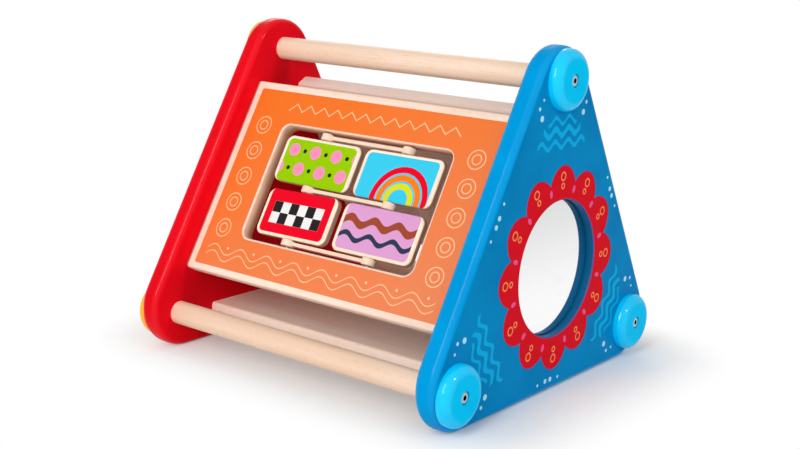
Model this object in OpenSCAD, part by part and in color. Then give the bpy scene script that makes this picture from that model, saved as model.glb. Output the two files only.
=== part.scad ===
// Triangular wooden busy box: two end boards, three dowels, three boards, a mirror and four spinning tiles.
// Units are millimetres. X runs along the box, the front faces -Y, Z is up and the box rests on Z = 0.

/* [Frame] */
// Distance between dowel axes, the side of the triangle
dowel_pitch = 200; // [160:1:240]
// Distance of an end board's straight edges outside the dowel axes
edge_out = 24.8; // [22:0.2:28]
// Radius of the rounded corners of the end boards
corner_r = 29.2; // [24:0.2:32]
// Thickness of an end board
end_t = 14.5; // [12:0.5:20]
// Roundover along the edges of an end board
end_round = 4.5; // [1:0.25:5.5]
// Clear length between the end boards
inner_len = 217.5; // [180:0.5:260]

/* [Dowels] */
// Diameter of the three dowels
dowel_d = 15.5; // [12:0.5:20]
// Depth of the socket that takes a dowel end
socket_depth = 4; // [2:0.5:6]
// Chamfer at the ends of a dowel
dowel_chamfer = 0.8; // [0.2:0.1:2]

/* [Boards] */
// Width of a board, up the slope
board_w = 139.5; // [110:0.5:150]
// Thickness of a board
board_t = 11; // [9:0.5:14]
// Distance of a board's middle plane outside the plane of the dowel axes
board_out = 4.75; // [0:0.25:6]
// Roundover along the long edges of a board
board_round = 2; // [0.5:0.25:4]
// Depth of the groove that takes a board end
groove_depth = 3; // [2:0.5:5]

/* [Window] */
// Gap between a tile and the window's side
side_gap = 5.6; // [4:0.2:12]
// Gap between an outer spacer bar and the window's upper or lower rim
rim_gap = 1.4; // [1:0.1:5]
// Corner radius of the tile window
window_r = 6.5; // [4:0.5:12]
// Roundover of the window rim on both faces
window_round = 1.5; // [0.5:0.25:3]

/* [Tiles] */
// Width of a tile
tile_w = 63.8; // [50:0.2:66]
// Height of a tile, along its rod
tile_h = 32.6; // [24:0.2:34]
// Thickness of a tile
tile_t = 5; // [4:0.25:8]
// Corner radius of a tile's outline
tile_r = 5.5; // [4:0.25:9]
// Roundover of a tile's edges
tile_round = 1.2; // [0.4:0.1:2]
// Gap between the tiles of the two columns
column_gap = 4.2; // [2:0.1:8]
// Play of a tile between the hubs above and below it, at each end
tile_gap = 0.3; // [0.2:0.05:1]
// Turn of the tiles as shown: upper left, upper right, lower left, lower right
tile_turn = [-1.5, 1, 3.5, 0]; // [-20:0.5:20]

/* [Tile rods] */
// Diameter of a tile rod
rod_d = 2; // [1.6:0.1:2.4]
// Radial running fit of a tile on its rod
rod_fit = 0.06; // [0.02:0.01:0.1]
// Length of a rod held in the lower rail of the window
rod_hold = 12; // [8:1:20]
// Depth of the rod's upper end below the board's top edge
rod_sink = 1; // [0.5:0.5:3]

/* [Spacer bars] */
// Diameter of a hub on a spacer bar
hub_d = 9.4; // [6:0.2:12]
// Length of a hub along the rod
hub_h = 4.4; // [3:0.1:6]
// Chamfer of a hub's ends
hub_chamfer = 0.4; // [0.1:0.1:1]
// Height of the link between two hubs
link_h = 2.3; // [1.5:0.1:3]
// Depth of the link between two hubs
link_t = 4; // [2:0.2:6]

/* [Mirror] */
// Diameter of the mirror pocket
pocket_d = 87.2; // [70:0.2:94]
// Depth of the mirror's face below the end board's outer face
mirror_recess = 6; // [4:0.2:8]
// Distance of the mirror's centre to the rear of the end board's middle
mirror_rear = 4.8; // [0:0.2:8]
// Distance of the mirror's centre below the end board's middle
mirror_low = 2.8; // [0:0.2:8]
// Thickness of the mirror
mirror_t = 2.5; // [2:0.1:3]
// Bevel round the mirror
mirror_bevel = 0.5; // [0.1:0.1:1]
// Clearance of the mirror in its pocket
mirror_gap = 0.2; // [0.1:0.05:0.5]
// Roundover of the pocket's rim
pocket_round = 1.25; // [0.5:0.25:3]

/* [Caps] */
// Diameter of a button cap
cap_d = 38; // [28:0.5:42]
// Height of a button cap
cap_h = 7.5; // [6:0.25:10]
// Rounding of a cap's outer edge
cap_round = 5.5; // [2:0.25:7]
// Clearance round the screw head in its recess
recess_gap = 0.4; // [0.3:0.05:1.5]
// Thickness of the cap under the screw head
cap_seat = 3.5; // [2:0.25:4]

/* [Screws] */
// Diameter of a screw's shank
screw_d = 4; // [3:0.5:6]
// Diameter of a screw's head
head_d = 7.6; // [7:0.2:10]
// Height of a screw's head
head_h = 3.3; // [2.5:0.1:4.5]
// Rounding of the head's rim
head_round = 1; // [0.3:0.1:1.5]
// Hexagon socket, across flats
hex_af = 3; // [2.5:0.5:4]
// Depth of the hexagon socket
hex_depth = 2.4; // [1.5:0.1:3]
// Wall of a threaded insert
insert_wall = 1.5; // [1:0.25:2]
// Length of a threaded insert
insert_len = 15; // [12:1:20]
// Length of an insert left free beyond the screw's tip
tip_gap = 3; // [1:0.5:6]
// Depth of the two grooves round an insert
insert_groove = 0.5; // [0.2:0.1:0.8]

/* [Hidden] */
$fn = 64;
cut = 1;
arc_steps = 8;
sqrt3 = sqrt(3);
tri_h = dowel_pitch * sqrt3 / 2;
centre_z = edge_out + tri_h / 3;
top_z = edge_out + tri_h;
corners = [[-dowel_pitch / 2, edge_out], [dowel_pitch / 2, edge_out], [0, top_z]];
corner_pull = 2 * (corner_r - edge_out) * sqrt3 / dowel_pitch;
end_in = inner_len / 2;
end_out = end_in + end_t;
slope_mid = dowel_pitch / 2;
side_turn = 120;
slope_turn = 60;
board_len = inner_len + 2 * groove_depth;
board_back = board_out - board_t / 2;
board_top = slope_mid + board_w / 2;
row_pitch = tile_h + hub_h + 2 * tile_gap;
column_pitch = tile_w + column_gap;
window_w = column_pitch + tile_w + 2 * side_gap;
window_h = 2 * row_pitch + hub_h + 2 * rim_gap;
rod_from = slope_mid - window_h / 2 - rod_hold;
rod_to = board_top - rod_sink;
bore_d = rod_d + 2 * rod_fit;
pocket_depth = mirror_recess + mirror_t;
insert_face = inner_len / 2 + socket_depth;
head_seat = end_out + cap_seat;
recess_d = head_d + 2 * recess_gap;
insert_d = screw_d + 2 * insert_wall;
screw_from = insert_face - insert_len + tip_gap;
groove_w = insert_len / 5;

// Colours of the painted, printed and bare pieces
blue = [0.02, 0.48, 0.76];
cyan = [0.1, 0.72, 0.9];
red = [0.86, 0.07, 0.12];
amber = [1, 0.66, 0.15];
orange = [0.98, 0.48, 0.16];
wood = [0.95, 0.82, 0.66];
cream = [0.96, 0.92, 0.84];
steel = [0.72, 0.73, 0.75];
brass = [0.8, 0.65, 0.35];
silver = [0.88, 0.9, 0.92];
green = [0.58, 0.78, 0.06];
sky = [0.25, 0.78, 0.92];
lilac = [0.88, 0.64, 0.84];

// Node to build

// Corner of the triangle by name
front = 0;
rear = 1;
top = 2;
// Side of the prism by name, counted in turns of a third
front_side = 0;
bottom_side = 1;
rear_side = 2;
// Which end of the box, along X
blue_end = 1;
red_end = -1;

// Points of an arc about c from angle a to angle b
function arc(c, r, a, b) =
    [for (i = [0 : arc_steps]) c + r * [cos(a + (b - a) * i / arc_steps), sin(a + (b - a) * i / arc_steps)]];

// Section of a plate from its inner line out to radius r, t thick, both outer edges rounded by e
function plate_profile(r, t, e) =
    concat([[0, 0]], arc([r - e, e], e, -90, 0), arc([r - e, t - e], e, 0, 90), [[0, t]]);

// Section of a cutter through a plate t thick, radius r, that rounds both rims by e
function window_profile(r, t, e) =
    concat([[0, -cut], [r + e, -cut]], arc([r + e, e], e, 270, 180), arc([r + e, t - e], e, 180, 90),
        [[r + e, t + cut], [0, t + cut]]);

// Corners of a rectangle about the origin
function rectangle(w, h) = [[-w / 2, -h / 2], [w / 2, -h / 2], [w / 2, h / 2], [-w / 2, h / 2]];

// A section on both sides of a strip of width w, closed across it
function both_sides(profile, w) =
    concat([for (i = [1 : len(profile) - 2]) [w / 2 + profile[i][0], profile[i][1]]],
        [for (i = [len(profile) - 2 : -1 : 1]) [-w / 2 - profile[i][0], profile[i][1]]]);

// Rectangle w by h widened all round with the given section: two crossing bars and four turned corners
module widened(w, h, profile) {
    translate([-w / 2, 0, 0])
        across()
            linear_extrude(w)
                polygon(both_sides(profile, h));
    translate([0, h / 2, 0])
        rotate([90, 0, 0])
            linear_extrude(h)
                polygon(both_sides(profile, w));
    for (p = rectangle(w, h))
        translate([p[0], p[1], 0])
            rotate_extrude()
                polygon(profile);
}

// Rounded triangular blank of an end board in the XY plane, stretched over a puck at each corner.
// A puck lies on the line from its dowel axis to the middle, where it touches both straight edges.
module end_blank() {
    hull()
        for (c = corners)
            translate(c + corner_pull * ([0, centre_z] - c))
                rotate_extrude()
                    polygon(plate_profile(corner_r, end_t, end_round));
}

// Local XYZ laid along world YZX
module across() {
    rotate([90, 0, 90])
        children();
}

// One side of the prism: local Y runs up the slope from the lower dowel axis, local Z points outward
module on_side(side) {
    translate([0, 0, centre_z])
        rotate([side * side_turn, 0, 0])
            translate([0, -dowel_pitch / 2, edge_out - centre_z])
                rotate([slope_turn, 0, 0])
                    children();
}

// Axis of one dowel, local Z pointing out of the given end
module on_corner(end, corner) {
    translate([0, corners[corner][0], corners[corner][1]])
        rotate([0, end * 90, 0])
            children();
}

// Floor of the mirror's pocket, local Z pointing out of the end board
module on_mirror() {
    translate([end_out - pocket_depth, mirror_rear, centre_z - mirror_low])
        rotate([0, 90, 0])
            children();
}

// Cross-section of a board in the frame of its side
module board_section() {
    e = board_round;
    h = board_t;
    low = slope_mid - board_w / 2;
    translate([low, board_back])
        polygon(concat(arc([e, e], e, 180, 270), arc([board_w - e, e], e, 270, 360),
            arc([board_w - e, h - e], e, 0, 90), arc([e, h - e], e, 90, 180)));
}

// Bar with the board's section, centred on X
module board_bar(length) {
    translate([-length / 2, 0, 0])
        across()
            linear_extrude(length)
                board_section();
}

// End board without its pocket, on the given end
module end_board(end) {
    difference() {
        translate([end > 0 ? end_in : -end_out, 0, 0])
            across()
                end_blank();
        for (side = [front_side : rear_side])
            on_side(side)
                board_bar(board_len);
        for (corner = [front : top])
            on_corner(end, corner) {
                cylinder(d = dowel_d, h = end_in + socket_depth);
                cylinder(d = screw_d, h = end_out + cut);
            }
    }
}

// Pocket for the mirror with a rounded rim, cut into the outer face
module mirror_pocket() {
    r = pocket_d / 2;
    e = pocket_round;
    on_mirror()
        rotate_extrude()
            polygon(concat([[0, 0], [r, 0]], arc([r + e, pocket_depth - e], e, 180, 90),
                [[r + e, pocket_depth + cut], [0, pocket_depth + cut]]));
}

// Dowel with a bore at each end for its insert
module dowel(corner) {
    half = inner_len / 2 + socket_depth;
    difference() {
        for (end = [red_end, blue_end])
            on_corner(end, corner)
                rotate_extrude()
                    polygon([[0, 0], [dowel_d / 2, 0], [dowel_d / 2, half - dowel_chamfer],
                        [dowel_d / 2 - dowel_chamfer, half], [0, half]]);
        for (end = [red_end, blue_end])
            on_corner(end, corner)
                translate([0, 0, half - insert_len])
                    cylinder(d = insert_d, h = insert_len + cut);
    }
}

// Rod of one column, side -1 left and 1 right, of the given diameter
module column_rod(side, d, low, high) {
    on_side(front_side)
        translate([side * column_pitch / 2, low, board_out])
            rotate([-90, 0, 0])
                cylinder(d = d, h = high - low);
}

// Tile in one column and row, turned about its rod
module tile(side, row, turn) {
    profile = plate_profile(tile_r, tile_t, tile_round);
    on_side(front_side)
        translate([side * column_pitch / 2, slope_mid + row * row_pitch / 2, board_out])
            rotate([0, -turn, 0])
                difference() {
                    translate([0, 0, -tile_t / 2])
                        widened(tile_w - 2 * tile_r, tile_h - 2 * tile_r, profile);
                    translate([0, -tile_h / 2 - cut, 0])
                        rotate([-90, 0, 0])
                            cylinder(d = bore_d, h = tile_h + 2 * cut);
                }
}

// Spacer bar with a hub on each rod, in the given row line
module spacer(line) {
    c = hub_chamfer;
    r = hub_d / 2;
    h = hub_h / 2;
    on_side(front_side)
        translate([0, slope_mid + line * row_pitch, board_out])
            difference() {
                union() {
                    for (side = [-1, 1])
                        translate([side * column_pitch / 2, 0, 0])
                            rotate([-90, 0, 0])
                                rotate_extrude()
                                    polygon([[0, -h], [r - c, -h], [r, c - h], [r, h - c], [r - c, h], [0, h]]);
                    cube([column_pitch, link_h, link_t], center = true);
                }
                for (side = [-1, 1])
                    translate([side * column_pitch / 2, -hub_h, 0])
                        rotate([-90, 0, 0])
                            cylinder(d = rod_d, h = 2 * hub_h);
            }
}

// Button cap over one corner of one end
module cap(end, corner) {
    e = cap_round;
    r = cap_d / 2;
    on_corner(end, corner)
        translate([0, 0, end_out])
            rotate_extrude()
                polygon(concat([[screw_d / 2, 0], [r, 0]], arc([r - e, cap_h - e], e, 0, 90),
                    [[recess_d / 2, cap_h], [recess_d / 2, cap_seat], [screw_d / 2, cap_seat]]));
}

// Socket-head screw through one cap into the dowel
module screw(end, corner) {
    r = head_d / 2;
    e = head_round;
    hex_r = hex_af / sqrt3;
    on_corner(end, corner)
        difference() {
            union() {
                translate([0, 0, screw_from])
                    cylinder(d = screw_d, h = head_seat - screw_from);
                translate([0, 0, head_seat])
                    rotate_extrude()
                        polygon(concat([[0, 0], [r, 0]], arc([r - e, head_h - e], e, 0, 90), [[0, head_h]]));
            }
            translate([0, 0, head_seat + head_h - hex_depth])
                linear_extrude(hex_depth + cut)
                    polygon([for (i = [0 : 5]) hex_r * [cos(60 * i), sin(60 * i)]]);
        }
}

// Threaded insert in one dowel end, grooved to grip the wood
module insert(end, corner) {
    r = insert_d / 2;
    g = insert_groove;
    w = groove_w;
    on_corner(end, corner)
        translate([0, 0, insert_face - insert_len])
            rotate_extrude()
                polygon([[screw_d / 2, 0], [r, 0], [r, w], [r - g, w], [r - g, 2 * w], [r, 2 * w], [r, 3 * w],
                    [r - g, 3 * w], [r - g, 4 * w], [r, 4 * w], [r, 5 * w], [screw_d / 2, 5 * w]]);
}

module blue_end_board() {
    color(blue)
        difference() {
            end_board(blue_end);
            mirror_pocket();
        }
}

module red_end_board() {
    color(red)
        end_board(red_end);
}

module top_dowel() {
    color(wood)
        dowel(top);
}

module front_dowel() {
    color(wood)
        dowel(front);
}

module rear_dowel() {
    color(wood)
        dowel(rear);
}

module front_board() {
    profile = window_profile(window_r, board_t, window_round);
    color(orange)
        difference() {
            on_side(front_side)
                difference() {
                    board_bar(board_len);
                    translate([0, slope_mid, board_back])
                        widened(window_w - 2 * window_r, window_h - 2 * window_r, profile);
                }
            for (side = [-1, 1])
                column_rod(side, rod_d, rod_from, board_top + cut);
        }
}

module rear_board() {
    color(wood)
        on_side(rear_side)
            board_bar(board_len);
}

module bottom_board() {
    color(wood)
        on_side(bottom_side)
            board_bar(board_len);
}

module mirror_disc() {
    r = pocket_d / 2 - mirror_gap;
    b = mirror_bevel;
    color(silver)
        on_mirror()
            rotate_extrude()
                polygon([[0, 0], [r, 0], [r, mirror_t - b], [r - b, mirror_t], [0, mirror_t]]);
}

module tile_upper_left() {
    color(green)
        tile(-1, 1, tile_turn[0]);
}

module tile_upper_right() {
    color(sky)
        tile(1, 1, tile_turn[1]);
}

module tile_lower_left() {
    color(red)
        tile(-1, -1, tile_turn[2]);
}

module tile_lower_right() {
    color(lilac)
        tile(1, -1, tile_turn[3]);
}

module left_rod() {
    color(steel)
        column_rod(-1, rod_d, rod_from, rod_to);
}

module right_rod() {
    color(steel)
        column_rod(1, rod_d, rod_from, rod_to);
}

module upper_spacer() {
    color(cream)
        spacer(1);
}

module middle_spacer() {
    color(cream)
        spacer(0);
}

module lower_spacer() {
    color(cream)
        spacer(-1);
}

module blue_cap_front() {
    color(cyan)
        cap(blue_end, front);
}

module blue_cap_rear() {
    color(cyan)
        cap(blue_end, rear);
}

module blue_cap_top() {
    color(cyan)
        cap(blue_end, top);
}

module amber_cap_front() {
    color(amber)
        cap(red_end, front);
}

module amber_cap_rear() {
    color(amber)
        cap(red_end, rear);
}

module amber_cap_top() {
    color(amber)
        cap(red_end, top);
}

module blue_screw_front() {
    color(steel)
        screw(blue_end, front);
}

module blue_screw_rear() {
    color(steel)
        screw(blue_end, rear);
}

module blue_screw_top() {
    color(steel)
        screw(blue_end, top);
}

module red_screw_front() {
    color(steel)
        screw(red_end, front);
}

module red_screw_rear() {
    color(steel)
        screw(red_end, rear);
}

module red_screw_top() {
    color(steel)
        screw(red_end, top);
}

module blue_insert_front() {
    color(brass)
        insert(blue_end, front);
}

module blue_insert_rear() {
    color(brass)
        insert(blue_end, rear);
}

module blue_insert_top() {
    color(brass)
        insert(blue_end, top);
}

module red_insert_front() {
    color(brass)
        insert(red_end, front);
}

module red_insert_rear() {
    color(brass)
        insert(red_end, rear);
}

module red_insert_top() {
    color(brass)
        insert(red_end, top);
}

blue_end_board();
red_end_board();
top_dowel();
front_dowel();
rear_dowel();
front_board();
rear_board();
bottom_board();
mirror_disc();
tile_upper_left();
tile_upper_right();
tile_lower_left();
tile_lower_right();
left_rod();
right_rod();
upper_spacer();
middle_spacer();
lower_spacer();
blue_cap_front();
blue_cap_rear();
blue_cap_top();
amber_cap_front();
amber_cap_rear();
amber_cap_top();
blue_screw_front();
blue_screw_rear();
blue_screw_top();
red_screw_front();
red_screw_rear();
red_screw_top();
blue_insert_front();
blue_insert_rear();
blue_insert_top();
red_insert_front();
red_insert_rear();
red_insert_top();
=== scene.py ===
"""Dresses the triangular busy box in gloss paint, print, bare wood, plastic, metal and a mirror."""

from __future__ import annotations

import logging
import math
from dataclasses import dataclass, replace
from enum import Enum
from typing import Any, NamedTuple, Union

import bpy
import numpy as np
from mathutils import Matrix, Vector

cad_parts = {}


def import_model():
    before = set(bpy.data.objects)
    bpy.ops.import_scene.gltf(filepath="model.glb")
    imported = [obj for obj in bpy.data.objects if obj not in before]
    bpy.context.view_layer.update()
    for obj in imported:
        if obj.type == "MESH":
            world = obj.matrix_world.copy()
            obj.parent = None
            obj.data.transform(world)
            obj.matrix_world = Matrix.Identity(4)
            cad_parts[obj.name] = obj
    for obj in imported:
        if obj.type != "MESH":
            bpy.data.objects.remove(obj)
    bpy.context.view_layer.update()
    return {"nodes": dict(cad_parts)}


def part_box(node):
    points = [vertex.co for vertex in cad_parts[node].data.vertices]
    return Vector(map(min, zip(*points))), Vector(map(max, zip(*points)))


Colour = Vec3 = tuple[float, float, float]
Pair = tuple[float, float]
Socket = bpy.types.NodeSocket
Inputs = dict[Any, Any]
Nodes = dict[str, bpy.types.Object]
Number = Union["Signal", float]

LOG = logging.getLogger("busy_box")
MM = 0.001
# Lean of the front side from the level
SLOPE = math.radians(60.0)
# Share of each finer wave in a noise
NOISE_ROUGH = 0.55
# Share of a metal's colour that is left in a stain
STAINED = 0.8
# Roughness of a rubbed or clear polish
POLISH_ROUGH = 0.1
# Rays that show a thing as itself
PLAIN_RAYS = ("Camera", "Glossy", "Transmission")
WHITE_LIGHT = (1.0, 1.0, 1.0)


def srgb(*shown: int) -> Colour:
    """Turn display values from 0 to 255 into a linear colour.

    Args:
        shown: Red, green and blue as displayed.

    Returns:
        The linear colour that a shader socket takes.
    """
    share = np.array(shown) / 255.0
    linear = np.where(share <= 0.04045, share / 12.92, ((share + 0.055) / 1.055) ** 2.4)
    return tuple(linear.tolist())


class Signal:
    """A number that changes over a surface. Arithmetic on it adds Math nodes to its tree."""

    def __init__(self, tree: Tree, socket: Socket) -> None:
        """Wrap one output socket of a tree."""
        self.tree = tree
        self.socket = socket

    def __add__(self, other: Number) -> Signal:
        """Sum, with the number on either side."""
        return self.tree.math("ADD", self, other)

    __radd__ = __add__

    def __sub__(self, other: Number) -> Signal:
        """Difference."""
        return self.tree.math("SUBTRACT", self, other)

    def __rsub__(self, other: Number) -> Signal:
        """Difference with the number on the left."""
        return self.tree.math("SUBTRACT", other, self)

    def __mul__(self, other: Number) -> Signal:
        """Product, with the number on either side."""
        return self.tree.math("MULTIPLY", self, other)

    __rmul__ = __mul__

    def __truediv__(self, other: Number) -> Signal:
        """Quotient."""
        return self.tree.math("DIVIDE", self, other)

    def __rtruediv__(self, other: Number) -> Signal:
        """Quotient with the number on the left."""
        return self.tree.math("DIVIDE", other, self)

    def __abs__(self) -> Signal:
        """Size without sign."""
        return self.tree.math("ABSOLUTE", self)

    def __or__(self, other: Number) -> Signal:
        """The greater of the two, which keeps what lies within both distances."""
        return self.tree.math("MAXIMUM", self, other)

    __ror__ = __or__

    def __and__(self, other: Number) -> Signal:
        """The lesser of the two, which keeps what lies within either distance."""
        return self.tree.math("MINIMUM", self, other)

    __rand__ = __and__

    def sin(self) -> Signal:
        """Sine of an angle in radians."""
        return self.tree.math("SINE", self)

    def cos(self) -> Signal:
        """Cosine of an angle in radians."""
        return self.tree.math("COSINE", self)

    def floor(self) -> Signal:
        """Whole number at or below."""
        return self.tree.math("FLOOR", self)

    def repeat(self, pitch: float) -> Signal:
        """Fold into one period of the pitch, centred on nought."""
        return self.tree.math("WRAP", self, pitch / 2, -pitch / 2)

    def between(self, low: float, high: float) -> Signal:
        """Rise smoothly from 0 at low to 1 at high, or fall where low is the greater."""
        inputs = {"Value": self, "From Min": low, "From Max": high}
        return self.tree.signal("ShaderNodeMapRange", inputs, interpolation_type="SMOOTHSTEP")

    def inside(self, soft: float = 0.1) -> Signal:
        """Mask of 1 where this distance is below nought, with an edge that is soft on both sides."""
        return self.between(soft, -soft)


class Spot(NamedTuple):
    """A place on a surface in millimetres along three local axes."""

    x: Signal
    y: Signal
    z: Signal

    @property
    def tree(self) -> Tree:
        """Shader tree that the place belongs to."""
        return self.x.tree


class Film(NamedTuple):
    """What a finish says of each point: colour, roughness and relief in millimetres."""

    colour: Any
    rough: Number
    height: Number


@dataclass(frozen=True)
class Axes:
    """A local frame in metres.

    Attributes:
        origin: Where the local coordinates start.
        right: Unit direction of the local x.
        up: Unit direction of the local y.
        out: Unit direction of the local z.
    """

    origin: Vec3 = (0.0, 0.0, 0.0)
    right: Vec3 = (1.0, 0.0, 0.0)
    up: Vec3 = (0.0, 1.0, 0.0)
    out: Vec3 = (0.0, 0.0, 1.0)

    def turned(self, degrees: float) -> Axes:
        """The same frame turned about its own y.

        Args:
            degrees: Turn that brings the right side forward.

        Returns:
            The turned frame.
        """
        turn = math.radians(degrees)
        right, out = np.array(self.right), np.array(self.out)
        new_right = right * math.cos(turn) + out * math.sin(turn)
        new_out = out * math.cos(turn) - right * math.sin(turn)
        return Axes(self.origin, tuple(new_right), self.up, tuple(new_out))


class Tree:
    """A shader tree: the one place where nodes are added, linked and wrapped."""

    def __init__(self, tree: bpy.types.NodeTree) -> None:
        """Take over a tree and empty it."""
        self.inner = tree
        self.inner.nodes.clear()

    def add(self, kind: str, inputs: Inputs | None = None, **settings: Any) -> bpy.types.Node:
        """Add one node.

        Args:
            kind: Type name of the node.
            inputs: Values or links by socket name or number.
            settings: Attributes of the node, which are set first.

        Returns:
            The new node.
        """
        node = self.inner.nodes.new(kind)
        for key, value in settings.items():
            setattr(node, key, value)
        for key, value in (inputs or {}).items():
            self.feed(node.inputs[key], value)
        return node

    def feed(self, socket: Socket, value: Any) -> None:
        """Link a socket to a signal or another socket, or set its own value.

        Args:
            socket: Input to feed.
            value: Signal, socket, number or colour.
        """
        if isinstance(value, Signal):
            value = value.socket
        if isinstance(value, Socket):
            self.inner.links.new(value, socket)
        elif socket.type == "RGBA":
            socket.default_value = (*value, 1.0)
        else:
            socket.default_value = value

    def signal(self, kind: str, inputs: Inputs, **settings: Any) -> Signal:
        """Add one node and wrap its first output."""
        return Signal(self, self.add(kind, inputs, **settings).outputs[0])

    def math(self, operation: str, *values: Number) -> Signal:
        """Result of one Math node on the values."""
        return self.signal("ShaderNodeMath", dict(enumerate(values)), operation=operation)

    def place(self, axes: Axes) -> Spot:
        """Object coordinates along local axes.

        Args:
            axes: Local origin and directions.

        Returns:
            Three signals in millimetres.
        """
        where = self.add("ShaderNodeTexCoord").outputs["Object"]
        inputs = {0: where, 1: axes.origin}
        shift = self.add("ShaderNodeVectorMath", inputs, operation="SUBTRACT").outputs[0]
        return Spot(*(self.along(shift, axis) for axis in (axes.right, axes.up, axes.out)))

    def along(self, vector: Socket, axis: Vec3) -> Signal:
        """Millimetres that a vector in metres runs along an axis."""
        inputs = {0: vector, 1: tuple(part / MM for part in axis)}
        return Signal(self, self.add("ShaderNodeVectorMath", inputs, operation="DOT_PRODUCT").outputs[1])

    def blend(self, share: Number, under: Any, over: Any) -> Socket:
        """Colour that goes from the lower one to the upper one as the share rises."""
        return self.add("ShaderNodeMix", {0: share, 6: under, 7: over}, data_type="RGBA").outputs[2]

    def shader(self, kind: str, inputs: Inputs) -> Socket:
        """Add one shader and give its output."""
        return self.add(kind, inputs).outputs[0]

    def mix(self, share: Signal, under: Socket, over: Socket) -> Socket:
        """Shader that goes from the lower one to the upper one as the share rises."""
        return self.shader("ShaderNodeMixShader", {0: share, 1: under, 2: over})

    def surface(self, film: Film, extras: Inputs) -> None:
        """Close the tree with a Principled surface.

        Args:
            film: Colour, roughness and relief of each point.
            extras: Other inputs, mostly the same all over.
        """
        bump = self.add("ShaderNodeBump", {"Strength": 1.0, "Distance": MM, "Height": film.height})
        inputs = {"Base Color": film.colour, "Roughness": film.rough, "Normal": bump.outputs[0], **extras}
        self.add("ShaderNodeOutputMaterial", {"Surface": self.shader("ShaderNodeBsdfPrincipled", inputs)})

    def seen(self) -> Signal:
        """Mask of the rays that show a thing as itself: from the camera, in a reflection or through glass."""
        rays = self.add("ShaderNodeLightPath").outputs
        return sum(Signal(self, rays[f"Is {ray} Ray"]) for ray in PLAIN_RAYS) & 1.0


def middle(node: str) -> Vec3:
    """Centre of a node's box, in metres."""
    low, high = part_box(node)
    return tuple((low + high) / 2)


def line_axes(node: str) -> Axes:
    """Frame on the lengthwise middle line of a node, with the part's own directions."""
    _, y, z = middle(node)
    return Axes((0.0, y, z))


def slope_axes(node: str) -> Axes:
    """Frame in the middle of a node on the front side: x along the box, y up the slope, z out of it."""
    rise, run = math.sin(SLOPE), math.cos(SLOPE)
    return Axes(middle(node), up=(0.0, run, rise), out=(0.0, -rise, run))


def radius(x: Signal, y: Signal) -> Signal:
    """Distance from the origin of a plane."""
    return x.tree.math("SQRT", x * x + y * y)


def disc(x: Signal, y: Signal, size: float) -> Signal:
    """Distance outside a disc of the given radius."""
    return radius(x, y) - size


def hoop(x: Signal, y: Signal, size: float, line: float) -> Signal:
    """Distance outside a drawn ring of the given radius and line width."""
    return abs(disc(x, y, size)) - line / 2


def rounded(x: Signal, y: Signal, half: Pair, corner: float) -> Signal:
    """Distance outside a rectangle with rounded corners.

    Args:
        x: Place across.
        y: Place up.
        half: Half width and height.
        corner: Corner radius.

    Returns:
        The signed distance: the length of the part past the corner centres, less the corner radius.
    """
    across = abs(x) - (half[0] - corner)
    up = abs(y) - (half[1] - corner)
    return radius(across | 0.0, up | 0.0) + ((across | up) & 0.0) - corner


def new_material(name: str, axes: Axes) -> tuple[bpy.types.Material, Spot]:
    """Start a material.

    Args:
        name: Name of the material.
        axes: Local frame that it follows.

    Returns:
        The material, and the place along the axes in its tree.
    """
    material = bpy.data.materials.new(name)
    material.use_nodes = True
    return material, Tree(material.node_tree).place(axes)


def put(piece: bpy.types.Object, material: bpy.types.Material) -> None:
    """Give a piece one material all over, and report it.

    Args:
        piece: Object to dress.
        material: Its finish.
    """
    piece.data.materials.clear()
    piece.data.materials.append(material)
    LOG.info("%s: %s", piece.name, material.name)


@dataclass(frozen=True)
class Layer:
    """One noise of a finish, with the colour, roughness and relief that it brings.

    Attributes:
        scale: Waves per millimetre along each local axis.
        detail: Number of finer waves.
        seed: Shift that makes noises differ.
        cut: Values between which it rises from 0 to 1, where only its peaks count.
        colour: Colour that it brings.
        ramp: Values between which that colour comes in. Without them it follows the noise.
        tint: Greatest share of that colour.
        rough: Roughness that its full value adds.
        relief: Height of its full value, in millimetres.
    """

    scale: Vec3
    detail: float
    seed: float = 0.0
    cut: Pair | None = None
    colour: Colour | None = None
    ramp: Pair | None = None
    tint: float = 1.0
    rough: float = 0.0
    relief: float = 0.0

    def value(self, spot: Spot) -> Signal:
        """Cloudy noise from 0 to 1.

        Args:
            spot: Place in millimetres.

        Returns:
            The noise value.
        """
        parts = {index: part * size + self.seed for index, (part, size) in enumerate(zip(spot, self.scale))}
        vector = spot.tree.add("ShaderNodeCombineXYZ", parts).outputs[0]
        inputs = {"Vector": vector, "Scale": 1.0, "Detail": self.detail, "Roughness": NOISE_ROUGH}
        noise = spot.tree.signal("ShaderNodeTexNoise", inputs)
        return noise.between(*self.cut) if self.cut else noise


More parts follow.
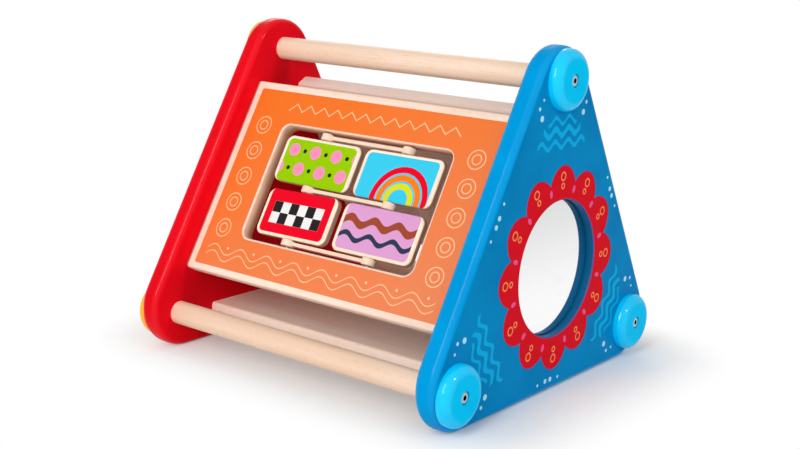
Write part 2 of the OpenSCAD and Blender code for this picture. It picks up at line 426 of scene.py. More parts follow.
class Finish:
    """Base of the finishes: a ground colour and a roughness under layers of noise.

    Attributes:
        colour: Colour under the layers.
        rough: Least roughness.
        gloss: Strength of the reflections.
    """

    colour: Colour
    rough: float
    gloss: float

    def ground(self, spot: Spot) -> Any:
        """Colour under the layers."""
        return self.colour

    def layers(self) -> tuple[Layer, ...]:
        """Layers from the lowest up."""
        raise NotImplementedError

    def sockets(self, spot: Spot) -> Inputs:
        """Inputs of the surface beside its film."""
        return {"Specular IOR Level": self.gloss}

    def film(self, spot: Spot) -> Film:
        """Lay the layers on the ground: each blends in its colour and adds to roughness and relief.

        Args:
            spot: Place in millimetres.

        Returns:
            Colour, roughness and relief.
        """
        colour = self.ground(spot)
        rough: Number = self.rough
        height: Number = 0.0
        for layer in self.layers():
            value = layer.value(spot)
            if layer.colour:
                shown = value.between(*layer.ramp) if layer.ramp else value
                colour = spot.tree.blend(shown * layer.tint, colour, layer.colour)
            if layer.rough:
                rough = rough + value * layer.rough
            if layer.relief:
                height = height + value * layer.relief
        return Film(colour, rough, height)

    def material(self, name: str, axes: Axes = Axes()) -> bpy.types.Material:
        """Make the finish as a material.

        Args:
            name: Name of the material.
            axes: Local frame that the finish follows.

        Returns:
            The material.
        """
        material, spot = new_material(name, axes)
        spot.tree.surface(self.film(spot), self.sockets(spot))
        return material


@dataclass(frozen=True)
class BareWood(Finish):
    """Pale close-grained wood under a clear satin coat, with its grain along the local x.

    Attributes:
        dark: Colour of the late wood.
        fleck: Colour of the short ray flecks.
        seed: Shift that gives each piece its own grain.
    """

    colour: Colour = srgb(248, 221, 199)
    dark: Colour = srgb(239, 204, 177)
    fleck: Colour = srgb(216, 168, 130)
    seed: float = 0.0
    rough: float = 0.37
    gloss: float = 0.1

    def layers(self) -> tuple[Layer, ...]:
        """Slow bands, fine fibres, and short flecks where a sharp noise peaks.

        Returns:
            The layers.
        """
        seed, dark = self.seed, self.dark
        band = Layer((0.006, 0.11, 0.11), 3.0, seed, colour=dark, ramp=(0.32, 0.68))
        fibre = Layer(
            (0.03, 1.1, 1.1), 2.0, seed + 7.0, None, dark, (0.45, 0.8), tint=0.45, rough=0.12, relief=0.012
        )
        fleck = Layer((0.22, 1.9, 1.9), 1.0, seed + 13.0, (0.63, 0.74), self.fleck, tint=0.5, relief=-0.015)
        return band, fibre, fleck


@dataclass(frozen=True)
class GlossPaint(Finish):
    """Sprayed gloss paint on an end board: slow mottling, orange peel, and the grain faintly showing through.

    Attributes:
        board: Node of the board.
        deep: Colour of the mottling.
        scuff: Colour of fine scuffs.
        polish: Weight of the polish that rubbing leaves on the roundovers.
        rubbed: Depths below a face between which the polish comes in, and between which it goes again.
    """

    board: str
    colour: Colour
    deep: Colour
    scuff: Colour
    gloss: float
    polish: float
    rough: float = 0.25
    rubbed: tuple[Pair, Pair] = ((0.2, 1.2), (4.5, 3.3))

    def layers(self) -> tuple[Layer, ...]:
        """Mottling from a slow noise, peel from a fine one, grain, and scuffs where a long thin noise peaks.

        Returns:
            The layers.
        """
        mottle = Layer((0.03, 0.03, 0.03), 3.0, colour=self.deep, ramp=(0.35, 0.7), rough=0.1)
        peel = Layer((0.5, 0.5, 0.5), 1.0, 5.0, relief=0.012)
        grain = Layer((0.02, 0.025, 0.6), 2.0, 9.0, relief=0.02)
        scuff = Layer((0.09, 0.8, 0.12), 2.0, 3.0, (0.7, 0.8), self.scuff, tint=0.15, rough=0.15)
        return mottle, peel, grain, scuff

    def sockets(self, spot: Spot) -> Inputs:
        """Gloss, with a polish between the flat faces and the middle of the edge.

        Args:
            spot: Place along the part's own axes.

        Returns:
            Inputs of the surface.
        """
        low, high = (corner.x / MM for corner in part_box(self.board))
        depth = (high - low) / 2 - abs(spot.x - (low + high) / 2)
        start, end = self.rubbed
        weight = depth.between(*start) * depth.between(*end) * self.polish
        return {**super().sockets(spot), "Coat Weight": weight, "Coat Roughness": POLISH_ROUGH}


@dataclass(frozen=True)
class Plastic(Finish):
    """Moulded plastic with faint flow marks.

    Attributes:
        deep: Colour of the flow marks.
    """

    colour: Colour
    deep: Colour
    rough: float
    gloss: float

    def layers(self) -> tuple[Layer, ...]:
        """Flow marks and a fine skin."""
        flow = Layer((0.06, 0.06, 0.06), 2.0, colour=self.deep, ramp=(0.4, 0.75))
        return flow, Layer((0.9, 0.9, 0.9), 1.0, 4.0, rough=0.08, relief=0.004)


@dataclass(frozen=True)
class ButtonPlastic(Plastic):
    """Plastic of a button cap, polished on its rounded rim.

    Attributes:
        rim: Radii between which the polish comes in, in millimetres.
        polish: Weight of the polish.
    """

    rim: Pair = (12.5, 15.5)
    polish: float = 0.48

    def sockets(self, spot: Spot) -> Inputs:
        """Gloss, with the polish growing from the plain middle outwards."""
        weight = radius(spot.y, spot.z).between(*self.rim) * self.polish
        return {**super().sockets(spot), "Coat Weight": weight, "Coat Roughness": POLISH_ROUGH}


@dataclass(frozen=True)
class Metal(Finish):
    """Plated or drawn metal with fine lines round the turning axis."""

    colour: Colour
    rough: float = 0.28

    def layers(self) -> tuple[Layer, ...]:
        """Fine lines and slow stains."""
        stain = Layer((0.25, 0.25, 0.25), 2.0, 6.0, None, tuple(np.array(self.colour) * STAINED), (0.4, 0.8))
        return Layer((0.3, 4.0, 4.0), 1.0, rough=0.12, relief=0.003), stain

    def sockets(self, spot: Spot) -> Inputs:
        """Metal all over."""
        return {"Metallic": 1.0}


@dataclass(frozen=True)
class SocketScrew(Metal):
    """Plated screw with painted shade in its hexagon socket.

    Attributes:
        socket: Radius round the socket's corners, in millimetres.
        floor: Distance from the middle of the box at which the painted shade begins.
        dark: Painted shade inside the socket.
    """

    socket: float = 1.76
    floor: float = 129.9
    dark: Colour = srgb(14, 18, 24)

    def film(self, spot: Spot) -> Film:
        """Metal with painted shade within the socket's radius and below its rim."""
        # Painted shade: the hexagon socket is coloured dark.
        film, socket_shade = super().film(spot), disc(spot.y, spot.z, self.socket) | (abs(spot.x) - self.floor)
        return film._replace(colour=spot.tree.blend(socket_shade.inside(0.05), film.colour, self.dark))


@dataclass(frozen=True)
class Silvering(Metal):
    """Safety mirror: a bright metal skin with a painted reflection that darkens towards the top, and faint
    finger smears.

    Attributes:
        colour: Colour of the reflection at the bottom.
        high: Colour of the reflection at the top.
        fade: Heights between which the one turns into the other.
    """

    colour: Colour = (0.95, 0.95, 0.95)
    rough: float = 0.03
    high: Colour = (0.72, 0.725, 0.725)
    fade: Pair = (-25.0, 50.0)

    def ground(self, spot: Spot) -> Any:
        """Painted reflection: the skin's colour darkens with height."""
        # Painted reflection: lighter at the bottom, darker at the top.
        return spot.tree.blend(spot.z.between(*self.fade), self.colour, self.high)

    def layers(self) -> tuple[Layer, ...]:
        """Smears that raise the roughness, and a slow wave that bends the reflection."""
        smear = Layer((0.05, 0.05, 0.12), 3.0, 0.0, (0.5, 0.8), self.high, tint=0.15, rough=0.07)
        return smear, Layer((0.02, 0.02, 0.02), 0.0, 2.0, relief=0.02)


@dataclass(frozen=True)
class MirrorPrint:
    """Print round the mirror: wavy bands and bubbles in each third, and a petalled ring with hoops and drops.

    Attributes:
        ground: Colour of the printed ground.
        cloud: Slow mottling of the ground.
        shift: Place of the mirror's centre to the rear of the board's middle and above it.
        wave: Colour of the wavy bands.
        waves: Distance from the middle, width and half span of each band.
        bubble: Colour of the bubbles.
        bubbles: Place towards the corner, place aside and radius of each bubble.
        ring: Colour of the petalled ring.
        fringe: Colour where the ring's ink overlaps the paint.
        hoop: Colour of the small drawn rings.
        hoops: Place, radius and line width of the rings on each petal.
        drop: Colour of the drops between the petals.
    """

    ground: Colour = srgb(0, 139, 200)
    cloud: Layer = Layer((0.025, 0.025, 0.025), 3.0, 21.0, (0.35, 0.7), srgb(0, 129, 189))
    shift: Pair = (4.8, -2.8)
    wave: Colour = srgb(10, 176, 232)
    waves: tuple[Vec3, ...] = ((76.5, 3.0, 27.0), (84.0, 4.0, 21.0), (91.0, 2.4, 16.0))
    bubble: Colour = srgb(178, 232, 250)
    bubbles: tuple[Vec3, ...] = (
        (94.0, 23.5, 1.9), (100.0, 26.5, 1.2), (105.0, 22.5, 0.9), (40.0, 63.5, 1.6), (48.0, 59.5, 1.0)
    )
    ring: Colour = srgb(222, 14, 34)
    fringe: Colour = srgb(96, 62, 132)
    hoop: Colour = srgb(250, 150, 92)
    hoops: tuple[Vec3, ...] = ((58.6, 2.5, 0.9), (52.6, 1.6, 0.9))
    drop: Colour = srgb(236, 92, 150)

    def colour(self, spot: Spot) -> Any:
        """Print on the outer face.

        The plane is folded into thirds about the board's middle for the bands and bubbles, with one place
        towards the corner and one aside, and into petals about the mirror for the ring, hoops and drops.

        Args:
            spot: Place to the rear of the mirror's centre and above it.

        Returns:
            Colour of the print.
        """
        tree, wide, tall = spot.tree, spot.x + self.shift[0], spot.y + self.shift[1]
        third = (tree.math("ARCTAN2", tall, wide) - math.pi / 2).repeat(math.tau / 3)
        corner, aside = radius(wide, tall) * third.cos(), abs(radius(wide, tall) * third.sin())
        wave_pitch, wave_height = 15.0, 2.2
        swell = (aside * (math.tau / wave_pitch)).cos() * wave_height
        colour = tree.blend(self.cloud.value(spot), self.ground, self.cloud.colour)
        for line, thick, span in self.waves:
            band = (abs(corner - line + swell) - thick / 2) | (aside - span)
            colour = tree.blend(band.inside(0.25), colour, self.wave)
        for place, side, size in self.bubbles:
            colour = tree.blend(disc(corner - place, aside - side, size).inside(), colour, self.bubble)
        reach = radius(spot.x, spot.y)
        angle = tree.math("ARCTAN2", spot.y, spot.x)
        inner, outer, petal, petals = 44.3, 55.0, 10.5, 12
        sector, bluntness, overlap, share = math.tau / petals, 0.75, 0.7, 0.7
        bulge = tree.math("POWER", abs((angle * (petals / 2)).cos()), bluntness) * petal
        edge = (reach - outer - bulge) | (inner - reach)
        colour = tree.blend((edge - overlap).inside(0.2) * share, colour, self.fringe)
        colour = tree.blend(edge.inside(), colour, self.ring)
        for place, size, line in self.hoops:
            drawn = hoop(reach - place, angle.repeat(sector) * place, size, line)
            colour = tree.blend(drawn.inside(), colour, self.hoop)
        drop_place, drop_size, slimness = 50.6, 1.5, 0.6
        gap = (angle + sector / 2).repeat(sector) * drop_place
        drop = disc((reach - drop_place) * slimness, gap, drop_size)
        return tree.blend(drop.inside(), colour, self.drop)


@dataclass(frozen=True)
class BoardPrint:
    """Orange print on the front board: a field with a bare margin, and pale line work round the window.

    Attributes:
        field: Colour of the field at the top by the plain end.
        pale: Painted sheen: the paler colour that the field turns to at the bottom by the mirror end.
        cloud: Noise that makes the fade uneven.
        half: Half width and height of the field.
        lift: Height of the field's middle above the board's.
        window: Half width and height of the window with its bare rim.
        offset: Place of the rim's middle to the right of the board's and above it.
        corners: Corner radii of the field and the rim.
        face: Height above the board's middle at which the print begins.
        line: Colour of the line work.
        width: Width of the drawn lines.
        strength: Share of that colour in the lines.
        smooth: How much smoother the ink is than the wood.
        thick: Thickness of the ink.
    """

    field: Colour = srgb(244, 117, 38)
    pale: Colour = srgb(237, 136, 92)
    cloud: Layer = Layer((0.02, 0.02, 0.02), 2.0, 11.0)
    half: Pair = (102.8, 64.9)
    lift: float = -0.5
    window: Pair = (72.6, 42.3)
    offset: Pair = (0.4, -0.4)
    corners: Pair = (1.5, 8.0)
    face: float = 5.35
    line: Colour = srgb(255, 203, 158)
    width: float = 0.75
    strength: float = 0.85
    smooth: float = 0.04
    thick: float = 0.03

    def over(self, spot: Spot, film: Film) -> Film:
        """Print over the wood: a zigzag above the window, hoops at its sides, waves and dots below it.

        Args:
            spot: Place on the board.
            film: Film of the wood.

        Returns:
            Film of the printed wood.
        """
        tree, x, y = spot.tree, spot.x, spot.y
        field = rounded(x, y - self.lift, self.half, self.corners[0])
        window = rounded(x - self.offset[0], y - self.offset[1], self.window, self.corners[1])
        ink = (field | (0.0 - window) | (self.face - spot.z)).inside(0.12)
        # Painted sheen: the field pales towards the bottom by the mirror end.
        along, down, uneven, sheen_ends = 0.16, 0.3, 16.0, (-34.0, 46.0)
        fade = x * along - y * down + (self.cloud.value(spot) - 0.5) * uneven
        colour = tree.blend(fade.between(*sheen_ends), self.field, self.pale)
        pen, pitch, swing = self.width / 2, 24.0, 3.0
        peak, steep, fall, thin = 53.6, 0.9, 2.7, 0.74
        zigzag = peak + (abs(x.repeat(pitch / 2)) * steep - fall)
        wave = (x * (math.tau / pitch)).sin() * swing
        column, spacing, dot_line, dot = 89.0, 19.0, -51.2, 0.9
        side, bead = abs(x) - column, y.repeat(spacing)
        above, beside, below = abs(x) - 72.0, abs(y) - 46.0, abs(x) - 96.0
        marks = [(abs(y - zigzag) * thin - pen) | above]
        marks += [hoop(side, bead, size, self.width) | beside for size in (6.2, 3.2)]
        marks += [(abs(y - line - wave) - pen) | below for line in (-53.0, -57.6)]
        marks.append(disc((x + pitch / 4).repeat(pitch), y - dot_line, dot) | below)
        for mark in marks:
            colour = tree.blend(mark.inside(0.14) * self.strength, colour, self.line)
        colour = tree.blend(ink, film.colour, colour)
        return Film(colour, film.rough - ink * self.smooth, film.height + ink * self.thick)


class Motif(Enum):
    """Pattern printed on one face of a tile, by the method that draws it."""

    DOTS = "dots"
    ARCHES = "arches"
    CHECKS = "checks"
    WAVES = "waves"
    STRIPES = "stripes"


@dataclass(frozen=True)
class TilePrint:
    """Print on one face of a tile: a coloured field with a motif.

    Attributes:
        field: Colour of the field.
        inks: Colours of the motif.
        motif: Which pattern it is.
    """

    field: Colour
    inks: tuple[Colour, ...]
    motif: Motif

    def colour(self, x: Signal, y: Signal) -> Any:
        """Field with its motif.

        Args:
            x: Millimetres to the right of the tile's middle.
            y: Millimetres above it.

        Returns:
            Colour of the print.
        """
        draw = getattr(self, self.motif.value)
        colour: Any = self.field
        for distance, ink in zip(draw(x, y), self.inks):
            colour = x.tree.blend(distance.inside(), colour, ink)
        return colour

    def dots(self, x: Signal, y: Signal, pitch: float = 18.0, lead: float = 4.0) -> list[Signal]:
        """Large dots in two staggered rows, and small ones between them."""
        one, two = ((x + shift).repeat(pitch) for shift in (lead, lead - pitch / 2))
        return [disc(one, y - row, dot) & disc(two, y + row, dot) for row, dot in ((6.5, 4.6), (-6.5, 1.5))]

    def arches(self, x: Signal, y: Signal) -> list[Signal]:
        """Three rings one inside the other about a point on the lower edge."""
        right, low, line = 6.0, -14.5, 4.2
        return [hoop(x - right, y - low, size, line) for size in (20.5, 15.0, 9.5)]

    def checks(self, x: Signal, y: Signal, cell: float = 7.6) -> list[Signal]:
        """Squares in two rows of six: pale ones, and dark ones where the cell's number is odd."""
        block, count = (abs(x) - 3 * cell) | (abs(y) - cell), (x / cell).floor() + (y / cell).floor()
        return [block, block | (0.25 - abs((count * 0.5).repeat(1.0)))]

    def waves(self, x: Signal, y: Signal, pitch: float = 19.0, swing: float = 2.2) -> list[Signal]:
        """Wavy bands of two colours, one above the other."""
        swell = y + (x * (math.tau / pitch)).sin() * swing
        return [abs(swell - line) - half for line, half in ((5.0, 2.6), (-5.4, 1.7))]

    def stripes(self, x: Signal, y: Signal) -> list[Signal]:
        """Upright stripes at an even pitch."""
        pitch, half = 11.0, 2.4
        return [abs(x.repeat(pitch)) - half]


@dataclass(frozen=True)
class EndBoards:
    """The two painted end boards and the mirror.

    Attributes:
        blue: Paint of the end with the mirror.
        red: Paint of the plain end.
        design: Print round the mirror.
        silvering: Finish of the mirror.
        ink: Depths below the face between which the print begins, in millimetres.
        rim: Colour of the pocket's rim, where ink and paint overlap.
        shade: Painted shade on the pocket's wall, which lies in a recess.
        reaches: Radii that take in the rim and the wall.
        depths: Depths at which the wall begins and ends.
    """

    blue: GlossPaint = GlossPaint(
        "blue_end_board", srgb(0, 154, 219), srgb(0, 146, 211), srgb(60, 178, 230), gloss=0.012, polish=0.16
    )
    red: GlossPaint = GlossPaint(
        "red_end_board", srgb(236, 8, 28), srgb(229, 7, 26), srgb(248, 70, 75), gloss=0.03, polish=0.22
    )
    design: MirrorPrint = MirrorPrint()
    silvering: Silvering = Silvering()
    ink: Pair = (0.25, 0.12)
    rim: Colour = srgb(70, 88, 148)
    shade: Colour = srgb(5, 83, 126)
    reaches: Pair = (45.0, 44.2)
    depths: Pair = (0.9, 8.5)

    def dress(self, nodes: Nodes) -> None:
        """Paint the boards, silver the mirror, print the blue board's outer face, and paint shade on the
        pocket's wall.

        Args:
            nodes: Packed objects by node.
        """
        centre = middle("mirror_disc")
        put(nodes[self.red.board], self.red.material("red_gloss"))
        put(nodes["mirror_disc"], self.silvering.material("mirror_silver", Axes(centre)))
        material, place = new_material("blue_gloss_print", Axes())
        tree, film = place.tree, self.blue.film(place)
        origin = (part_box(self.blue.board)[1].x, *centre[1:])
        spot = tree.place(Axes(origin, (0.0, 1.0, 0.0), (0.0, 0.0, 1.0), (1.0, 0.0, 0.0)))
        depth = 0.0 - spot.z
        start, end = self.depths
        rim, wall = (disc(spot.x, spot.y, reach) | (depth - end) for reach in self.reaches)
        colour = tree.blend(rim.inside(), film.colour, self.rim)
        colour = tree.blend(depth.between(*self.ink), colour, self.design.colour(spot))
        # Painted shade: the pocket's wall is darkened where it lies in the recess.
        colour = tree.blend((wall | (start - depth)).inside(0.3), colour, self.shade)
        tree.surface(film._replace(colour=colour), self.blue.sockets(place))
        put(nodes[self.blue.board], material)


SHEET_WOOD = BareWood(srgb(254, 230, 212), srgb(246, 214, 192), srgb(218, 174, 142), 91.0, gloss=0.05)
REAR_WOOD = BareWood(srgb(243, 224, 213), srgb(235, 209, 195), srgb(208, 170, 144), 91.0)
PALE_WOOD = BareWood(srgb(255, 240, 227), srgb(253, 226, 208), srgb(226, 186, 156), 68.0)
TILE_WOOD = BareWood(srgb(255, 240, 219), srgb(250, 229, 203), srgb(226, 190, 152), rough=0.31, gloss=0.03)


@dataclass(frozen=True)
class WoodFrame:
    """The bare wood: three dowels, the rear board and the bottom board.

    Attributes:
        pieces: Node, kind and wood of each piece.
    """

    pieces: tuple[tuple[str, str, BareWood], ...] = (
        ("top_dowel", "turned_wood", BareWood()),
        ("front_dowel", "turned_wood", BareWood(seed=17.0)),
        ("rear_dowel", "turned_wood", BareWood(seed=34.0)),
        ("rear_board", "sheet_wood", REAR_WOOD),
        ("bottom_board", "sheet_wood", PALE_WOOD),
    )

    def dress(self, nodes: Nodes) -> None:
        """Give each piece its own cut of wood."""
        for node, kind, wood in self.pieces:
            put(nodes[node], wood.material(f"{kind}_{node}"))


@dataclass(frozen=True)
class FrontBoard:
    """The sloping board with the tile window.

    Attributes:
        wood: Bare wood of the margins and edges.
        design: Print of its face.
        opening: Half width and height that take in the walls of the window, in millimetres.
        corner: Corner radius of that opening.
        wall: Height above the board's middle at which the walls meet their pale rounded rim.
        shade: Painted shade on the walls of the window near the face.
        deep: Darker painted shade on the walls at the back.
        fade: Heights between which the one turns into the other.
        joint: Half length up to the painted shade in the joints at the end boards.
        joint_shade: Painted shade in those joints, where the board meets the end boards.
        shares: Share of the painted shade in the walls, and of the painted shade in the joints.
    """

    wood: BareWood = SHEET_WOOD
    design: BoardPrint = BoardPrint()
    opening: Pair = (72.2, 41.9)
    corner: float = 7.2
    wall: float = 3.7
    shade: Colour = srgb(252, 206, 170)
    deep: Colour = srgb(186, 106, 64)
    fade: Pair = (4.0, -3.5)
    joint: float = 107.6
    joint_shade: Colour = srgb(150, 40, 30)
    shares: Pair = (0.85, 0.8)

    def dress(self, nodes: Nodes) -> None:
        """Print the face, paint shade on the window's walls and at the end joints, and leave the rest as
        wood.

        Args:
            nodes: Packed objects by node.
        """
        material, spot = new_material("orange_print_on_wood", slope_axes("front_board"))
        tree, film = spot.tree, self.wood.film(spot)
        wall_shade_share, joint_shade_share = self.shares
        # Painted shade on the window's walls, paler near the face and darker towards the back; cut carries
        # it.
        wall = rounded(spot.x, spot.y, self.opening, self.corner) | (spot.z - self.wall)
        cut = tree.blend(spot.z.between(*self.fade), self.shade, self.deep)
        colour = tree.blend(wall.inside(0.4) * wall_shade_share, film.colour, cut)
        # Painted shade in the joints where the board meets the end boards.
        colour = tree.blend((self.joint - abs(spot.x)).inside(0.5) * joint_shade_share, colour, self.joint_shade)
        film = self.design.over(spot, film._replace(colour=colour))
        tree.surface(film, self.wood.sockets(spot))
        put(nodes["front_board"], material)


class Edge(Enum):
    """Edge of a tile, by its side up or down the slope."""

    HIGH = 1.0
    LOW = -1.0


GREEN, SKY, SCARLET, LILAC = srgb(152, 202, 6), srgb(60, 204, 238), srgb(238, 8, 38), srgb(222, 160, 208)
PINK, YELLOW, AMBER, BROWN = srgb(255, 146, 184), srgb(222, 222, 40), srgb(250, 130, 30), srgb(160, 74, 50)
WHITE, CHARCOAL, NAVY, CREAM = srgb(242, 240, 238), srgb(38, 34, 36), srgb(48, 58, 84), srgb(255, 240, 219)


@dataclass(frozen=True)
class Tile:
    """One spinning tile, printed on both faces.

    Attributes:
        node: Name of its node and body.
        turn: How far it is turned about its rod at rest, in degrees.
        bleed: Edge that the print runs out to.
        front: Print of the face that shows.
        seed: Shift of its wood grain.
    """

    node: str
    turn: float
    bleed: Edge
    front: TilePrint
    seed: float

    def dress(self, nodes: Nodes, window: TileWindow) -> None:
        """Print both faces, with a bare border on three sides, and turn the edges darker brown.

        Args:
            nodes: Packed objects by node.
            window: Sizes and colours that the tiles share.
        """
        material, spot = new_material(f"print_{self.node}", slope_axes(self.node).turned(self.turn))
        wood = replace(TILE_WOOD, seed=self.seed)
        tree, film = spot.tree, wood.film(spot)
        half = (window.half[0], window.half[1] + window.spill / 2)
        field = rounded(spot.x, spot.y - self.bleed.value * window.spill / 2, half, window.corner)
        # The tile's edges are turned darker brown than its wood.
        side = abs(spot.z) - window.side
        colour = tree.blend(side.inside(0.4) * window.stain, film.colour, window.cut)
        back = TilePrint(self.front.field, (CREAM,), Motif.STRIPES)
        for design, x, z in ((self.front, spot.x, spot.z), (back, 0.0 - spot.x, 0.0 - spot.z)):
            ink = (field | (window.ink - z)).inside()
            colour = tree.blend(ink, colour, design.colour(x, spot.y))
        tree.surface(film._replace(colour=colour), wood.sockets(spot))
        put(nodes[self.node], material)


@dataclass(frozen=True)
class TileWindow:
    """The four tiles with their rods and spacer bars.

    Attributes:
        half: Half width and height of a tile's printed field, in millimetres.
        corner: Corner radius of the field.
        spill: How far the print runs on at the edge towards the other row.
        ink: Height above the tile's middle at which the print begins.
        side: Half height of a tile's cut edges.
        cut: Darker brown put on the tile's edges.
        stain: Share of that colour in them.
        tiles: The tiles.
        spacer: Plastic of the spacer bars.
        rod: Metal of the rods.
    """

    half: Pair = (29.0, 14.2)
    corner: float = 3.4
    spill: float = 2.2
    ink: float = 1.6
    side: float = 1.7
    cut: Colour = srgb(158, 102, 76)
    stain: float = 0.8
    tiles: tuple[Tile, ...] = (
        Tile("tile_upper_left", -1.5, Edge.LOW, TilePrint(GREEN, (PINK, CHARCOAL), Motif.DOTS), 3.0),
        Tile("tile_upper_right", 1.0, Edge.LOW, TilePrint(SKY, (SCARLET, AMBER, YELLOW), Motif.ARCHES), 29.0),
        Tile("tile_lower_left", 3.5, Edge.HIGH, TilePrint(SCARLET, (WHITE, CHARCOAL), Motif.CHECKS), 43.0),
        Tile("tile_lower_right", 0.0, Edge.HIGH, TilePrint(LILAC, (BROWN, NAVY), Motif.WAVES), 59.0),
    )
    spacer: Plastic = Plastic(srgb(248, 220, 198), srgb(240, 210, 186), 0.38, 0.1)
    rod: Metal = Metal((0.42, 0.38, 0.33))

    def dress(self, nodes: Nodes) -> None:
        """Give tiles, rods and spacer bars their finishes.

        Args:
            nodes: Packed objects by node.
        """
        for tile in self.tiles:
            tile.dress(nodes, self)
        plastic = self.spacer.material("spacer_plastic")
        for line in ("upper", "middle", "lower"):
            put(nodes[f"{line}_spacer"], plastic)
        steel = self.rod.material("rod_steel")
        for side in ("left", "right"):
            put(nodes[f"{side}_rod"], steel)


class Corner(Enum):
    """Corner of the triangle."""

    FRONT = "front"
    REAR = "rear"
    TOP = "top"


@dataclass(frozen=True)
class Fasteners:
    """Button caps, screws and inserts at the three corners of both ends.

    Attributes:
        blue_cap: Plastic of the caps at the mirror end.
        amber_cap: Plastic of the caps at the plain end.
        screw: Finish of the screws.
        insert: Metal of the inserts.
    """

    blue_cap: ButtonPlastic = ButtonPlastic(srgb(0, 204, 254), srgb(0, 196, 248), 0.16, 0.012)
    amber_cap: ButtonPlastic = ButtonPlastic(srgb(255, 184, 24), srgb(250, 170, 12), 0.16, 0.04)
    screw: SocketScrew = SocketScrew((0.5, 0.53, 0.56), 0.24)
    insert: Metal = Metal((0.75, 0.58, 0.28), 0.34)

    def dress(self, nodes: Nodes) -> None:
        """Give caps, screws and inserts their finishes.

        Args:
            nodes: Packed objects by node.
        """
        brass = self.insert.material("insert_brass")
        for corner in Corner:
            where = corner.value
            for end, cap in (("blue", self.blue_cap), ("amber", self.amber_cap)):
                node = f"{end}_cap_{where}"
                put(nodes[node], cap.material(f"plastic_{node}", line_axes(node)))
            steel = self.screw.material(f"screw_steel_{where}", line_axes(f"blue_screw_{where}"))
            for end in ("blue", "red"):
                put(nodes[f"{end}_screw_{where}"], steel)
                put(nodes[f"{end}_insert_{where}"], brass)


@dataclass(frozen=True)
class Softbox:
    """A large soft lamp that points at the middle of the box.

    Attributes:
        name: Name of the lamp.
        place: Where it hangs, in metres.
        size: Width and height.
        power: Power in watts.
        aim: What it points at.
    """

    name: str
    place: Vec3
    size: Pair
    power: float
    aim: Vec3 = (0.0, 0.0, 0.1)

    def build(self) -> None:
        """Hang the lamp with its face towards its aim."""
        data = bpy.data.lights.new(self.name, "AREA")
        data.shape = "RECTANGLE"
        data.size, data.size_y = self.size
        data.energy = self.power
        lamp = bpy.data.objects.new(self.name, data)
        bpy.context.scene.collection.objects.link(lamp)
        turn = (Vector(self.aim) - Vector(self.place)).to_track_quat("-Z", "Y")
        lamp.matrix_world = Matrix.Translation(self.place) @ turn.to_matrix().to_4x4()


@dataclass(frozen=True)
class View:
    """Camera of the main picture.

    Attributes:
        azimuth: Degrees round from the front towards the mirror end.
        elevation: Degrees above the level.
        roll: Turn of the frame about the line of sight, in degrees.
        distance: Metres from the target.
        target: Point in the middle of the frame.
        lens: Focal length for a frame 36 mm wide.
    """

    azimuth: float = 38.178
    elevation: float = 13.02
    roll: float = 1.83
    distance: float = 0.8782
    target: Vec3 = (0.0, 0.00064, 0.08793)
    lens: float = 58.382

    def build(self) -> None:
        """Set up the camera: its back axis from the two angles, then right and up turned by the roll."""
        turn, rise, roll = np.radians([self.azimuth, self.elevation, self.roll])
        back = np.array([np.sin(turn) * np.cos(rise), -np.cos(turn) * np.cos(rise), np.sin(rise)])
        level = np.cross(-back, [0.0, 0.0, 1.0])
        level /= np.linalg.norm(level)
        upright = np.cross(level, -back)
        right = level * np.cos(roll) + upright * np.sin(roll)
        up = upright * np.cos(roll) - level * np.sin(roll)
        pose = np.eye(4)
        pose[:3] = np.column_stack([right, up, back, np.array(self.target) + self.distance * back])
        data = bpy.data.cameras.new("main_view")
        data.sensor_fit = "HORIZONTAL"
        data.lens = self.lens
        camera = bpy.data.objects.new("main_view", data)
        bpy.context.scene.collection.objects.link(camera)
        camera.matrix_world = Matrix(pose.tolist())
        bpy.context.scene.camera = camera


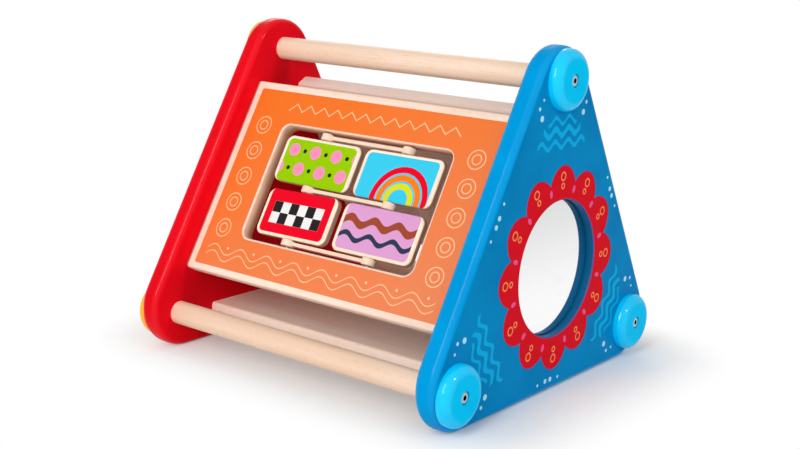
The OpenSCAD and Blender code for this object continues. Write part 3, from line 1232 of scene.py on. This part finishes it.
@dataclass(frozen=True)
class Studio:
    """Plain pale floor, white surroundings, soft lamps and the camera.

    Attributes:
        reach: Half width of the floor in metres.
        cells: Floor cells along a side.
        cloud: Faint unevenness of the floor.
        tones: Darkest and lightest reflectance of the floor.
        foot: Half length and half depth of the shaded ground, in millimetres.
        rear: How far its middle lies to the rear of the box's middle.
        corner: Its corner radius.
        fade: Distances from it between which the floor turns plain white.
        glow: Share of plain white on it at the plain end, and how much less it is at the mirror end.
        dim: Places along the box between which that share falls.
        sky: Strength of the light from all round.
        lamps: The soft lamps.
        view: The camera.
    """

    reach: float = 4.0
    cells: int = 8
    cloud: Layer = Layer((0.2, 0.2, 0.2), 2.0)
    tones: Pair = (0.88, 0.92)
    foot: Pair = (124.0, 92.0)
    rear: float = 16.0
    corner: float = 10.0
    fade: Pair = (8.0, 75.0)
    glow: Pair = (0.24, 0.2)
    dim: Pair = (70.0, 125.0)
    sky: float = 0.42
    lamps: tuple[Softbox, ...] = (
        Softbox("key_front", (0.27, -1.27, 0.85), (0.6, 0.8), 9.2),
        Softbox("strip_front", (0.37, -1.48, 0.6), (0.06, 0.7), 3.5),
        Softbox("fill_right", (1.55, 0.1, 0.85), (0.12, 0.6), 5.5),
        Softbox("fill_rear_left", (-1.1, 1.1, 0.95), (0.8, 0.8), 6.0),
    )
    view: View = View()

    def build(self) -> None:
        """Set up camera, floor, surroundings and lamps."""
        bpy.context.scene.view_settings.view_transform = "Standard"
        self.view.build()
        self.floor()
        self.surroundings()
        for lamp in self.lamps:
            lamp.build()

    def floor(self) -> None:
        """Lay the floor: the level surface x = u, y = v, z = 0 on an even grid."""
        steps = np.linspace(-self.reach, self.reach, self.cells + 1)
        u, v = np.meshgrid(steps, steps)
        floor = surface_piece("pale_floor", np.stack([u, v, np.zeros_like(u)], axis=-1))
        material, spot = new_material("pale_floor", Axes())
        tree = spot.tree
        dark, light = ((tone, tone, tone) for tone in self.tones)
        tone = tree.blend(self.cloud.value(spot), dark, light)
        inputs = {"Base Color": tone, "Roughness": 1.0, "Specular IOR Level": 0.0}
        matt = tree.shader("ShaderNodeBsdfPrincipled", inputs)
        plain = tree.shader("ShaderNodeEmission", {"Color": WHITE_LIGHT, "Strength": 1.0})
        away = rounded(spot.x, spot.y - self.rear, self.foot, self.corner).between(*self.fade)
        near = self.glow[0] - spot.x.between(*self.dim) * self.glow[1]
        share = tree.seen() * (near + away * (1.0 - near))
        tree.add("ShaderNodeOutputMaterial", {"Surface": tree.mix(share, matt, plain)})
        put(floor, material)

    def surroundings(self) -> None:
        """Light evenly from all round, and show plain white to the camera and in reflections."""
        world = bpy.data.worlds.new("white_room")
        world.use_nodes = True
        bpy.context.scene.world = world
        tree = Tree(world.node_tree)
        light = tree.shader("ShaderNodeBackground", {"Color": WHITE_LIGHT, "Strength": self.sky})
        plain = tree.shader("ShaderNodeBackground", {"Color": WHITE_LIGHT, "Strength": 1.0})
        tree.add("ShaderNodeOutputWorld", {"Surface": tree.mix(tree.seen(), light, plain)})


def surface_piece(name: str, grid: np.ndarray) -> bpy.types.Object:
    """Make an object from a grid of points.

    Args:
        name: Name of the object.
        grid: Points in metres, rows by columns by three.

    Returns:
        The object, with one four-sided face for each cell of the grid.
    """
    rows, columns = grid.shape[:2]
    index = np.arange(rows * columns).reshape(rows, columns)
    corners = (index[:-1, :-1], index[:-1, 1:], index[1:, 1:], index[1:, :-1])
    faces = np.stack(corners, axis=-1).reshape(-1, len(corners))
    mesh = bpy.data.meshes.new(name)
    mesh.from_pydata(grid.reshape(-1, 3).tolist(), [], faces.tolist())
    piece = bpy.data.objects.new(name, mesh)
    bpy.context.scene.collection.objects.link(piece)
    return piece


def main() -> None:
    """Build the studio and dress each sub-assembly in order."""
    logging.basicConfig(level=logging.INFO, format="%(name)s %(message)s")
    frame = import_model()
    Studio().build()
    for part in (EndBoards(), WoodFrame(), FrontBoard(), TileWindow(), Fasteners()):
        part.dress(frame["nodes"])


if __name__ == "__main__":
    main()
